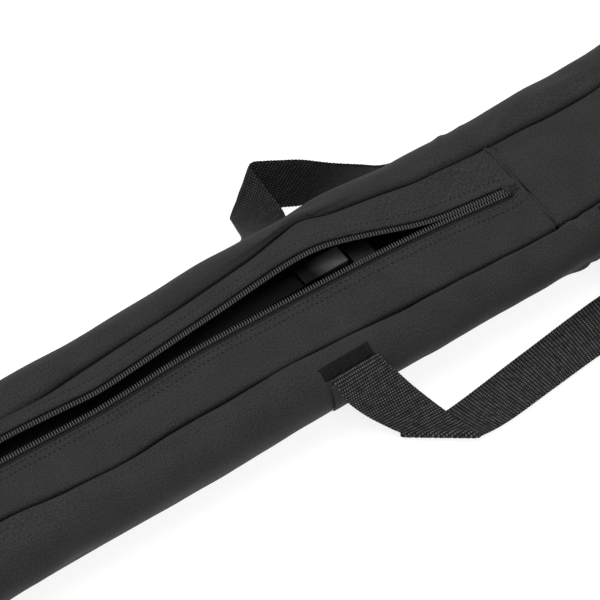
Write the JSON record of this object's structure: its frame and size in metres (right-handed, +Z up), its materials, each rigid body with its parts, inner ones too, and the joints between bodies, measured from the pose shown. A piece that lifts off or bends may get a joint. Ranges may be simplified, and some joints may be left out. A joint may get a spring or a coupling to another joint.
{
  "type": "music stand",
  "caption": "Folding music stand packed in a soft zipped carry bag with webbing handles; its telescopic mast, tripod and desk lie folded inside.",
  "frame": {"origin": "middle of the flat bottom panel of the bag, on the surface it lies on", "axes": "+X along the bag from the slider end towards the closed sleeve, +Y to the far handle, +Z up out of the zip"},
  "size_m": [0.7, 0.2123, 0.0543],
  "materials": {
    "shell_fabric": "black woven polyester, matt",
    "binding": "black folded seam",
    "zip_tape": "black knitted tape",
    "zip_teeth": "black nylon coil",
    "zip_metal": "black enamelled zinc",
    "webbing": "black ribbed webbing",
    "stand_steel": "black powder coat",
    "stand_plastic": "black moulded",
    "pin_steel": "zinc plated",
    "foot_cap": "black glossy"
  },
  "bodies": {
    "bag": {"bottom_panel": "shell_fabric", "gusset_near": "shell_fabric", "gusset_far": "shell_fabric", "end_panel_left": "shell_fabric", "end_panel_right": "shell_fabric", "top_band_left": "shell_fabric", "top_panel_near": "shell_fabric", "top_panel_far": "shell_fabric", "sleeve_top": "shell_fabric", "cross_seam_welt": "binding", "zip_tape_near": "zip_tape", "zip_tape_far": "zip_tape", "zip_teeth_near": "zip_teeth", "zip_teeth_far": "zip_teeth", "zip_stop_left": "zip_metal", "zip_stop_right": "zip_metal", "anchor_near_left": "webbing", "anchor_near_right": "webbing", "anchor_far_left": "webbing", "anchor_far_right": "webbing"},
    "zip_slider": {"slider_body": "zip_metal", "pull_pin": "zip_metal"},
    "zip_pull": {"slider_pull": "zip_metal"},
    "near_handle": {"handle_near": "webbing"},
    "far_handle": {"handle_far": "webbing"},
    "stand": {"bottom_hub": "stand_plastic", "hub_pin_a": "pin_steel", "hub_pin_b": "pin_steel", "hub_pin_c": "pin_steel", "lower_tube": "stand_steel", "sliding_collar": "stand_plastic", "lower_clamp": "stand_plastic"},
    "lower_clamp_knob": {"lower_knob": "stand_plastic"},
    "middle_mast": {"middle_tube": "stand_steel", "upper_clamp": "stand_plastic"},
    "upper_clamp_knob": {"upper_knob": "stand_plastic"},
    "upper_mast": {"upper_tube": "stand_steel"},
    "desk": {"desk_spine": "stand_steel", "upper_arm_rivet": "pin_steel", "lower_arm_rivet": "pin_steel", "tilt_bracket": "stand_plastic", "tilt_pin": "pin_steel"},
    "socket": {"desk_socket": "stand_plastic"},
    "socket_knob": {"tilt_knob": "stand_plastic"},
    "tripod_leg_a": {"leg_a": "stand_steel", "foot_a": "foot_cap", "strut_pin_a": "pin_steel"},
    "tripod_strut_a": {"strut_a": "stand_steel"},
    "tripod_leg_b": {"leg_b": "stand_steel", "foot_b": "foot_cap", "strut_pin_b": "pin_steel"},
    "tripod_strut_b": {"strut_b": "stand_steel"},
    "tripod_leg_c": {"leg_c": "stand_steel", "foot_c": "foot_cap", "strut_pin_c": "pin_steel"},
    "tripod_strut_c": {"strut_c": "stand_steel"},
    "upper_arm_left_bar": {"upper_arm_left": "stand_steel"},
    "upper_arm_right_bar": {"upper_arm_right": "stand_steel"},
    "lower_arm_left_bar": {"lower_arm_left": "stand_steel"},
    "lower_arm_right_bar": {"lower_arm_right": "stand_steel"}
  },
  "joints": [
    {"name": "zip_travel", "type": "slide", "parent": "bag", "child": "zip_slider", "axis": [0.9993, -0.0384, 0], "range_m": [0, 0.36]},
    {"name": "zip_pull_flip", "type": "hinge", "parent": "zip_slider", "child": "zip_pull", "pos_m": [-0.322, 0.00925, 0.0524], "axis": [0.0384, 0.9993, 0], "range_deg": [0, 180]},
    {"name": "near_handle_swing", "type": "hinge", "parent": "bag", "child": "near_handle", "pos_m": [0, -0.0532, 0.0463], "axis": [-1, 0, 0], "range_deg": [0, 105]},
    {"name": "far_handle_swing", "type": "hinge", "parent": "bag", "child": "far_handle", "pos_m": [0, 0.0618, 0.0322], "axis": [1, 0, 0], "range_deg": [0, 90]},
    {"name": "stand_shift", "type": "slide", "parent": "bag", "child": "stand", "axis": [1, 0, 0], "range_m": [-0.008, 0.035]},
    {"name": "lower_knob_turn", "type": "hinge", "parent": "stand", "child": "lower_clamp_knob", "pos_m": [0.132, 0.018, 0.02], "axis": [0, 1, 0], "continuous": true},
    {"name": "middle_mast_slide", "type": "slide", "parent": "stand", "child": "middle_mast", "axis": [1, 0, 0], "range_m": [0, 0.06]},
    {"name": "upper_knob_turn", "type": "hinge", "parent": "middle_mast", "child": "upper_clamp_knob", "pos_m": [0.1592, 0.018, 0.02], "axis": [0, 1, 0], "continuous": true},
    {"name": "upper_mast_slide", "type": "slide", "parent": "middle_mast", "child": "upper_mast", "axis": [1, 0, 0], "range_m": [0, 0.055]},
    {"name": "leg_a_fold", "type": "hinge", "parent": "stand", "child": "tripod_leg_a", "pos_m": [-0.322, 0.018, 0.0328], "axis": [0, -1, 0], "range_deg": [0, 0.8]},
    {"name": "strut_a_fold", "type": "hinge", "parent": "tripod_leg_a", "child": "tripod_strut_a", "pos_m": [-0.222, 0.018, 0.0328], "axis": [0, -1, 0], "range_deg": [-1.3, 0]},
    {"name": "leg_b_fold", "type": "hinge", "parent": "stand", "child": "tripod_leg_b", "pos_m": [-0.322, 0.00692, 0.0136], "axis": [0, 0.5, -0.866], "range_deg": [0, 0.8]},
    {"name": "strut_b_fold", "type": "hinge", "parent": "tripod_leg_b", "child": "tripod_strut_b", "pos_m": [-0.222, 0.00692, 0.0136], "axis": [0, 0.5, -0.866], "range_deg": [-1.3, 0]},
    {"name": "leg_c_fold", "type": "hinge", "parent": "stand", "child": "tripod_leg_c", "pos_m": [-0.322, 0.02908, 0.0136], "axis": [0, 0.5, 0.866], "range_deg": [0, 0.8]},
    {"name": "strut_c_fold", "type": "hinge", "parent": "tripod_leg_c", "child": "tripod_strut_c", "pos_m": [-0.222, 0.02908, 0.0136], "axis": [0, 0.5, 0.866], "range_deg": [-1.3, 0]},
    {"name": "desk_shift", "type": "slide", "parent": "bag", "child": "desk", "axis": [1, 0, 0], "range_m": [-0.025, 0.06]},
    {"name": "desk_tilt", "type": "hinge", "parent": "desk", "child": "socket", "pos_m": [0.04, -0.014, 0.021], "axis": [0, 1, 0], "range_deg": [-15, 15]},
    {"name": "tilt_knob_turn", "type": "hinge", "parent": "socket", "child": "socket_knob", "pos_m": [0.04, -0.014, 0.021], "axis": [0, 1, 0], "continuous": true},
    {"name": "upper_arm_left_fold", "type": "hinge", "parent": "desk", "child": "upper_arm_left_bar", "pos_m": [-0.02, -0.0349, 0.021], "axis": [0, 1, 0], "range_deg": [0, 2]},
    {"name": "upper_arm_right_fold", "type": "hinge", "parent": "desk", "child": "upper_arm_right_bar", "pos_m": [-0.02, -0.0281, 0.021], "axis": [0, 1, 0], "range_deg": [-2, 0]},
    {"name": "lower_arm_left_fold", "type": "hinge", "parent": "desk", "child": "lower_arm_left_bar", "pos_m": [0.08, -0.0349, 0.021], "axis": [0, 1, 0], "range_deg": [-2, 0]},
    {"name": "lower_arm_right_fold", "type": "hinge", "parent": "desk", "child": "lower_arm_right_bar", "pos_m": [0.08, -0.0281, 0.021], "axis": [0, 1, 0], "range_deg": [0, 2]}
  ],
  "couplings": [
    {"joint": "strut_a_fold", "follows": "leg_a_fold", "ratio": -1.575},
    {"joint": "leg_b_fold", "follows": "leg_a_fold", "ratio": 1},
    {"joint": "strut_b_fold", "follows": "leg_a_fold", "ratio": -1.575},
    {"joint": "leg_c_fold", "follows": "leg_a_fold", "ratio": 1},
    {"joint": "strut_c_fold", "follows": "leg_a_fold", "ratio": -1.575},
    {"joint": "upper_arm_right_fold", "follows": "upper_arm_left_fold", "ratio": -1},
    {"joint": "lower_arm_left_fold", "follows": "upper_arm_left_fold", "ratio": -1},
    {"joint": "lower_arm_right_fold", "follows": "upper_arm_left_fold", "ratio": 1}
  ]
}
